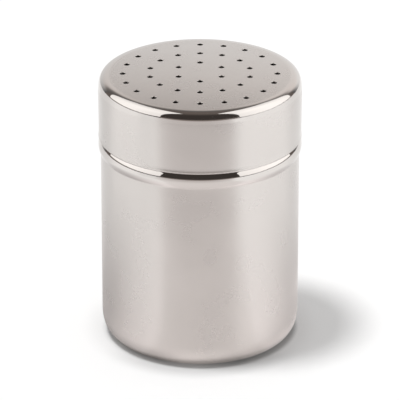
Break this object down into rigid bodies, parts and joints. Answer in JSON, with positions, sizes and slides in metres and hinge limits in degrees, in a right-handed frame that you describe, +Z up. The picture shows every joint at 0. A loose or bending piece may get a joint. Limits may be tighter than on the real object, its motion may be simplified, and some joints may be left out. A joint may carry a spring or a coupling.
{
  "type": "sugar caster",
  "caption": "Plain round steel sugar caster: a straight-sided cup with a rolled stop bead and a push-on, slightly domed lid pierced with rings of sprinkling holes.",
  "frame": {"origin": "middle of the base, on the plane that the cup stands on", "axes": "+Z up along the axis of the cup and the lid, -Y towards the viewer of the picture, +X to the right"},
  "size_m": [0.0702, 0.0702, 0.0967],
  "materials": {
    "cup_steel": "satin stainless steel with a bright rolled bead",
    "lid_steel": "satin stainless steel with a bright shoulder"
  },
  "bodies": {
    "cup": {"cup": "cup_steel"},
    "lid": {"lid": "lid_steel"}
  },
  "joints": [
    {"name": "lid_lift", "type": "slide", "parent": "cup", "child": "lid", "axis": [0, 0, 1], "range_m": [0, 0.035]}
  ]
}
